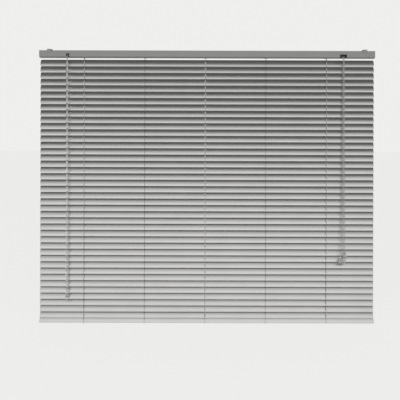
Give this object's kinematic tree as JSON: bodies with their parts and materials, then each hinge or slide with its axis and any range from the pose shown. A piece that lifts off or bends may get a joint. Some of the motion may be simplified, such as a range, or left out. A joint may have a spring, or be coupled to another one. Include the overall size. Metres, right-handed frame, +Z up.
{
  "type": "venetian blind",
  "caption": "Aluminium venetian blind with crowned slats on ladder cords, a wand-driven worm tilter, a cord lock with tasselled pull cords and clip brackets.",
  "frame": {"origin": "middle of the plane that the two brackets are screwed to, on the headrail's centre line", "axes": "+X along the headrail to the right as seen from the room, +Y towards the window, +Z up"},
  "size_m": [1.144, 0.0439, 0.9348],
  "materials": {
    "slat_silver": "satin",
    "painted_silver": "satin",
    "zinc_steel": "zinc plated",
    "grey_plastic": "moulded",
    "dark_plastic": "moulded",
    "pale_plastic": "moulded",
    "tassel_plastic": "moulded",
    "clear_plastic": "clear",
    "ladder_cord": "braided",
    "lift_cord": "braided"
  },
  "bodies": {
    "headrail": {"headrail": "painted_silver", "headrail_end_caps": "grey_plastic", "mounting_brackets": "zinc_steel", "drum_cradles": "grey_plastic", "tilter_housing": "dark_plastic", "cord_lock": "dark_plastic", "ladder_leads": "ladder_cord", "lift_cords": "lift_cord", "pull_cords": "lift_cord", "tassels": "tassel_plastic"},
    "bottom_rail": {"bottom_rail": "painted_silver", "bottom_rail_fittings": "grey_plastic"},
    "tilt_shaft": {"tilt_rod": "zinc_steel", "tilter_gear": "pale_plastic"},
    "tilter_worm": {"tilter_worm": "zinc_steel"},
    "wand": {"wand": "clear_plastic"},
    "lock_roller": {"lock_roller": "zinc_steel"},
    "slat_01": {"slat_01": "slat_silver"},
    "slat_02": {"slat_02": "slat_silver"},
    "slat_03": {"slat_03": "slat_silver"},
    "slat_04": {"slat_04": "slat_silver"},
    "slat_05": {"slat_05": "slat_silver"},
    "slat_06": {"slat_06": "slat_silver"},
    "slat_07": {"slat_07": "slat_silver"},
    "slat_08": {"slat_08": "slat_silver"},
    "slat_09": {"slat_09": "slat_silver"},
    "slat_10": {"slat_10": "slat_silver"},
    "slat_11": {"slat_11": "slat_silver"},
    "slat_12": {"slat_12": "slat_silver"},
    "slat_13": {"slat_13": "slat_silver"},
    "slat_14": {"slat_14": "slat_silver"},
    "slat_15": {"slat_15": "slat_silver"},
    "slat_16": {"slat_16": "slat_silver"},
    "slat_17": {"slat_17": "slat_silver"},
    "slat_18": {"slat_18": "slat_silver"},
    "slat_19": {"slat_19": "slat_silver"},
    "slat_20": {"slat_20": "slat_silver"},
    "slat_21": {"slat_21": "slat_silver"},
    "slat_22": {"slat_22": "slat_silver"},
    "slat_23": {"slat_23": "slat_silver"},
    "slat_24": {"slat_24": "slat_silver"},
    "slat_25": {"slat_25": "slat_silver"},
    "slat_26": {"slat_26": "slat_silver"},
    "slat_27": {"slat_27": "slat_silver"},
    "slat_28": {"slat_28": "slat_silver"},
    "slat_29": {"slat_29": "slat_silver"},
    "slat_30": {"slat_30": "slat_silver"},
    "slat_31": {"slat_31": "slat_silver"},
    "slat_32": {"slat_32": "slat_silver"},
    "slat_33": {"slat_33": "slat_silver"},
    "slat_34": {"slat_34": "slat_silver"},
    "slat_35": {"slat_35": "slat_silver"},
    "slat_36": {"slat_36": "slat_silver"},
    "slat_37": {"slat_37": "slat_silver"},
    "slat_38": {"slat_38": "slat_silver"},
    "slat_39": {"slat_39": "slat_silver"},
    "slat_40": {"slat_40": "slat_silver"},
    "slat_41": {"slat_41": "slat_silver"},
    "ladder_front": {"ladder_front_cords": "ladder_cord"},
    "ladder_rear": {"ladder_rear_cords": "ladder_cord"}
  },
  "joints": [
    {"name": "bottom_rail_tilt", "type": "hinge", "parent": "headrail", "child": "bottom_rail", "pos_m": [0, 0, -0.9225], "axis": [1, 0, 0], "range_deg": [-134, 0], "deforming": ["ladder_leads"]},
    {"name": "slat_01_tilt", "type": "hinge", "parent": "headrail", "child": "slat_01", "pos_m": [0, 0, -0.046], "axis": [1, 0, 0], "range_deg": [-134, 0]},
    {"name": "slat_02_tilt", "type": "hinge", "parent": "headrail", "child": "slat_02", "pos_m": [0, 0, -0.0675], "axis": [1, 0, 0], "range_deg": [-134, 0]},
    {"name": "slat_03_tilt", "type": "hinge", "parent": "headrail", "child": "slat_03", "pos_m": [0, 0, -0.089], "axis": [1, 0, 0], "range_deg": [-134, 0]},
    {"name": "slat_04_tilt", "type": "hinge", "parent": "headrail", "child": "slat_04", "pos_m": [0, 0, -0.1105], "axis": [1, 0, 0], "range_deg": [-134, 0]},
    {"name": "slat_05_tilt", "type": "hinge", "parent": "headrail", "child": "slat_05", "pos_m": [0, 0, -0.132], "axis": [1, 0, 0], "range_deg": [-134, 0]},
    {"name": "slat_06_tilt", "type": "hinge", "parent": "headrail", "child": "slat_06", "pos_m": [0, 0, -0.1535], "axis": [1, 0, 0], "range_deg": [-134, 0]},
    {"name": "slat_07_tilt", "type": "hinge", "parent": "headrail", "child": "slat_07", "pos_m": [0, 0, -0.175], "axis": [1, 0, 0], "range_deg": [-134, 0]},
    {"name": "slat_08_tilt", "type": "hinge", "parent": "headrail", "child": "slat_08", "pos_m": [0, 0, -0.1965], "axis": [1, 0, 0], "range_deg": [-134, 0]},
    {"name": "slat_09_tilt", "type": "hinge", "parent": "headrail", "child": "slat_09", "pos_m": [0, 0, -0.218], "axis": [1, 0, 0], "range_deg": [-134, 0]},
    {"name": "slat_10_tilt", "type": "hinge", "parent": "headrail", "child": "slat_10", "pos_m": [0, 0, -0.2395], "axis": [1, 0, 0], "range_deg": [-134, 0]},
    {"name": "slat_11_tilt", "type": "hinge", "parent": "headrail", "child": "slat_11", "pos_m": [0, 0, -0.261], "axis": [1, 0, 0], "range_deg": [-134, 0]},
    {"name": "slat_12_tilt", "type": "hinge", "parent": "headrail", "child": "slat_12", "pos_m": [0, 0, -0.2825], "axis": [1, 0, 0], "range_deg": [-134, 0]},
    {"name": "slat_13_tilt", "type": "hinge", "parent": "headrail", "child": "slat_13", "pos_m": [0, 0, -0.304], "axis": [1, 0, 0], "range_deg": [-134, 0]},
    {"name": "slat_14_tilt", "type": "hinge", "parent": "headrail", "child": "slat_14", "pos_m": [0, 0, -0.3255], "axis": [1, 0, 0], "range_deg": [-134, 0]},
    {"name": "slat_15_tilt", "type": "hinge", "parent": "headrail", "child": "slat_15", "pos_m": [0, 0, -0.347], "axis": [1, 0, 0], "range_deg": [-134, 0]},
    {"name": "slat_16_tilt", "type": "hinge", "parent": "headrail", "child": "slat_16", "pos_m": [0, 0, -0.3685], "axis": [1, 0, 0], "range_deg": [-134, 0]},
    {"name": "slat_17_tilt", "type": "hinge", "parent": "headrail", "child": "slat_17", "pos_m": [0, 0, -0.39], "axis": [1, 0, 0], "range_deg": [-134, 0]},
    {"name": "slat_18_tilt", "type": "hinge", "parent": "headrail", "child": "slat_18", "pos_m": [0, 0, -0.4115], "axis": [1, 0, 0], "range_deg": [-134, 0]},
    {"name": "slat_19_tilt", "type": "hinge", "parent": "headrail", "child": "slat_19", "pos_m": [0, 0, -0.433], "axis": [1, 0, 0], "range_deg": [-134, 0]},
    {"name": "slat_20_tilt", "type": "hinge", "parent": "headrail", "child": "slat_20", "pos_m": [0, 0, -0.4545], "axis": [1, 0, 0], "range_deg": [-134, 0]},
    {"name": "slat_21_tilt", "type": "hinge", "parent": "headrail", "child": "slat_21", "pos_m": [0, 0, -0.476], "axis": [1, 0, 0], "range_deg": [-134, 0]},
    {"name": "slat_22_tilt", "type": "hinge", "parent": "headrail", "child": "slat_22", "pos_m": [0, 0, -0.4975], "axis": [1, 0, 0], "range_deg": [-134, 0]},
    {"name": "slat_23_tilt", "type": "hinge", "parent": "headrail", "child": "slat_23", "pos_m": [0, 0, -0.519], "axis": [1, 0, 0], "range_deg": [-134, 0]},
    {"name": "slat_24_tilt", "type": "hinge", "parent": "headrail", "child": "slat_24", "pos_m": [0, 0, -0.5405], "axis": [1, 0, 0], "range_deg": [-134, 0]},
    {"name": "slat_25_tilt", "type": "hinge", "parent": "headrail", "child": "slat_25", "pos_m": [0, 0, -0.562], "axis": [1, 0, 0], "range_deg": [-134, 0]},
    {"name": "slat_26_tilt", "type": "hinge", "parent": "headrail", "child": "slat_26", "pos_m": [0, 0, -0.5835], "axis": [1, 0, 0], "range_deg": [-134, 0]},
    {"name": "slat_27_tilt", "type": "hinge", "parent": "headrail", "child": "slat_27", "pos_m": [0, 0, -0.605], "axis": [1, 0, 0], "range_deg": [-134, 0]},
    {"name": "slat_28_tilt", "type": "hinge", "parent": "headrail", "child": "slat_28", "pos_m": [0, 0, -0.6265], "axis": [1, 0, 0], "range_deg": [-134, 0]},
    {"name": "slat_29_tilt", "type": "hinge", "parent": "headrail", "child": "slat_29", "pos_m": [0, 0, -0.648], "axis": [1, 0, 0], "range_deg": [-134, 0]},
    {"name": "slat_30_tilt", "type": "hinge", "parent": "headrail", "child": "slat_30", "pos_m": [0, 0, -0.6695], "axis": [1, 0, 0], "range_deg": [-134, 0]},
    {"name": "slat_31_tilt", "type": "hinge", "parent": "headrail", "child": "slat_31", "pos_m": [0, 0, -0.691], "axis": [1, 0, 0], "range_deg": [-134, 0]},
    {"name": "slat_32_tilt", "type": "hinge", "parent": "headrail", "child": "slat_32", "pos_m": [0, 0, -0.7125], "axis": [1, 0, 0], "range_deg": [-134, 0]},
    {"name": "slat_33_tilt", "type": "hinge", "parent": "headrail", "child": "slat_33", "pos_m": [0, 0, -0.734], "axis": [1, 0, 0], "range_deg": [-134, 0]},
    {"name": "slat_34_tilt", "type": "hinge", "parent": "headrail", "child": "slat_34", "pos_m": [0, 0, -0.7555], "axis": [1, 0, 0], "range_deg": [-134, 0]},
    {"name": "slat_35_tilt", "type": "hinge", "parent": "headrail", "child": "slat_35", "pos_m": [0, 0, -0.777], "axis": [1, 0, 0], "range_deg": [-134, 0]},
    {"name": "slat_36_tilt", "type": "hinge", "parent": "headrail", "child": "slat_36", "pos_m": [0, 0, -0.7985], "axis": [1, 0, 0], "range_deg": [-134, 0]},
    {"name": "slat_37_tilt", "type": "hinge", "parent": "headrail", "child": "slat_37", "pos_m": [0, 0, -0.82], "axis": [1, 0, 0], "range_deg": [-134, 0]},
    {"name": "slat_38_tilt", "type": "hinge", "parent": "headrail", "child": "slat_38", "pos_m": [0, 0, -0.8415], "axis": [1, 0, 0], "range_deg": [-134, 0]},
    {"name": "slat_39_tilt", "type": "hinge", "parent": "headrail", "child": "slat_39", "pos_m": [0, 0, -0.863], "axis": [1, 0, 0], "range_deg": [-134, 0]},
    {"name": "slat_40_tilt", "type": "hinge", "parent": "headrail", "child": "slat_40", "pos_m": [0, 0, -0.8845], "axis": [1, 0, 0], "range_deg": [-134, 0]},
    {"name": "slat_41_tilt", "type": "hinge", "parent": "headrail", "child": "slat_41", "pos_m": [0, 0, -0.906], "axis": [1, 0, 0], "range_deg": [-134, 0]},
    {"name": "ladder_front_lift", "type": "hinge", "parent": "slat_01", "child": "ladder_front", "pos_m": [0, -0.00567, -0.05935], "axis": [1, 0, 0], "range_deg": [0, 134]},
    {"name": "ladder_rear_lift", "type": "hinge", "parent": "slat_01", "child": "ladder_rear", "pos_m": [0, 0.00567, -0.03265], "axis": [1, 0, 0], "range_deg": [0, 134]},
    {"name": "tilt_shaft_turn", "type": "hinge", "parent": "headrail", "child": "tilt_shaft", "pos_m": [-0.475, 0, -0.0145], "axis": [1, 0, 0], "range_deg": [-194, 0]},
    {"name": "tilter_worm_spin", "type": "hinge", "parent": "headrail", "child": "tilter_worm", "pos_m": [-0.475, -0.00602, -0.01028], "axis": [0, -0.5736, -0.8192], "range_deg": [0, 2324]},
    {"name": "wand_spin", "type": "hinge", "parent": "headrail", "child": "wand", "pos_m": [-0.475, -0.01792, -0.02925], "axis": [0, 0, 1], "range_deg": [-2324, 0]},
    {"name": "lock_roller_slide", "type": "slide", "parent": "headrail", "child": "lock_roller", "axis": [0, 0.7071, 0.7071], "range_m": [0, 0.003]}
  ],
  "couplings": [
    {"joint": "slat_01_tilt", "follows": "bottom_rail_tilt", "ratio": 1},
    {"joint": "slat_02_tilt", "follows": "bottom_rail_tilt", "ratio": 1},
    {"joint": "slat_03_tilt", "follows": "bottom_rail_tilt", "ratio": 1},
    {"joint": "slat_04_tilt", "follows": "bottom_rail_tilt", "ratio": 1},
    {"joint": "slat_05_tilt", "follows": "bottom_rail_tilt", "ratio": 1},
    {"joint": "slat_06_tilt", "follows": "bottom_rail_tilt", "ratio": 1},
    {"joint": "slat_07_tilt", "follows": "bottom_rail_tilt", "ratio": 1},
    {"joint": "slat_08_tilt", "follows": "bottom_rail_tilt", "ratio": 1},
    {"joint": "slat_09_tilt", "follows": "bottom_rail_tilt", "ratio": 1},
    {"joint": "slat_10_tilt", "follows": "bottom_rail_tilt", "ratio": 1},
    {"joint": "slat_11_tilt", "follows": "bottom_rail_tilt", "ratio": 1},
    {"joint": "slat_12_tilt", "follows": "bottom_rail_tilt", "ratio": 1},
    {"joint": "slat_13_tilt", "follows": "bottom_rail_tilt", "ratio": 1},
    {"joint": "slat_14_tilt", "follows": "bottom_rail_tilt", "ratio": 1},
    {"joint": "slat_15_tilt", "follows": "bottom_rail_tilt", "ratio": 1},
    {"joint": "slat_16_tilt", "follows": "bottom_rail_tilt", "ratio": 1},
    {"joint": "slat_17_tilt", "follows": "bottom_rail_tilt", "ratio": 1},
    {"joint": "slat_18_tilt", "follows": "bottom_rail_tilt", "ratio": 1},
    {"joint": "slat_19_tilt", "follows": "bottom_rail_tilt", "ratio": 1},
    {"joint": "slat_20_tilt", "follows": "bottom_rail_tilt", "ratio": 1},
    {"joint": "slat_21_tilt", "follows": "bottom_rail_tilt", "ratio": 1},
    {"joint": "slat_22_tilt", "follows": "bottom_rail_tilt", "ratio": 1},
    {"joint": "slat_23_tilt", "follows": "bottom_rail_tilt", "ratio": 1},
    {"joint": "slat_24_tilt", "follows": "bottom_rail_tilt", "ratio": 1},
    {"joint": "slat_25_tilt", "follows": "bottom_rail_tilt", "ratio": 1},
    {"joint": "slat_26_tilt", "follows": "bottom_rail_tilt", "ratio": 1},
    {"joint": "slat_27_tilt", "follows": "bottom_rail_tilt", "ratio": 1},
    {"joint": "slat_28_tilt", "follows": "bottom_rail_tilt", "ratio": 1},
    {"joint": "slat_29_tilt", "follows": "bottom_rail_tilt", "ratio": 1},
    {"joint": "slat_30_tilt", "follows": "bottom_rail_tilt", "ratio": 1},
    {"joint": "slat_31_tilt", "follows": "bottom_rail_tilt", "ratio": 1},
    {"joint": "slat_32_tilt", "follows": "bottom_rail_tilt", "ratio": 1},
    {"joint": "slat_33_tilt", "follows": "bottom_rail_tilt", "ratio": 1},
    {"joint": "slat_34_tilt", "follows": "bottom_rail_tilt", "ratio": 1},
    {"joint": "slat_35_tilt", "follows": "bottom_rail_tilt", "ratio": 1},
    {"joint": "slat_36_tilt", "follows": "bottom_rail_tilt", "ratio": 1},
    {"joint": "slat_37_tilt", "follows": "bottom_rail_tilt", "ratio": 1},
    {"joint": "slat_38_tilt", "follows": "bottom_rail_tilt", "ratio": 1},
    {"joint": "slat_39_tilt", "follows": "bottom_rail_tilt", "ratio": 1},
    {"joint": "slat_40_tilt", "follows": "bottom_rail_tilt", "ratio": 1},
    {"joint": "slat_41_tilt", "follows": "bottom_rail_tilt", "ratio": 1},
    {"joint": "ladder_front_lift", "follows": "bottom_rail_tilt", "ratio": -1},
    {"joint": "ladder_rear_lift", "follows": "bottom_rail_tilt", "ratio": -1},
    {"joint": "tilt_shaft_turn", "follows": "bottom_rail_tilt", "ratio": 1.4448},
    {"joint": "tilter_worm_spin", "follows": "bottom_rail_tilt", "ratio": -17.338},
    {"joint": "wand_spin", "follows": "bottom_rail_tilt", "ratio": 17.338}
  ]
}
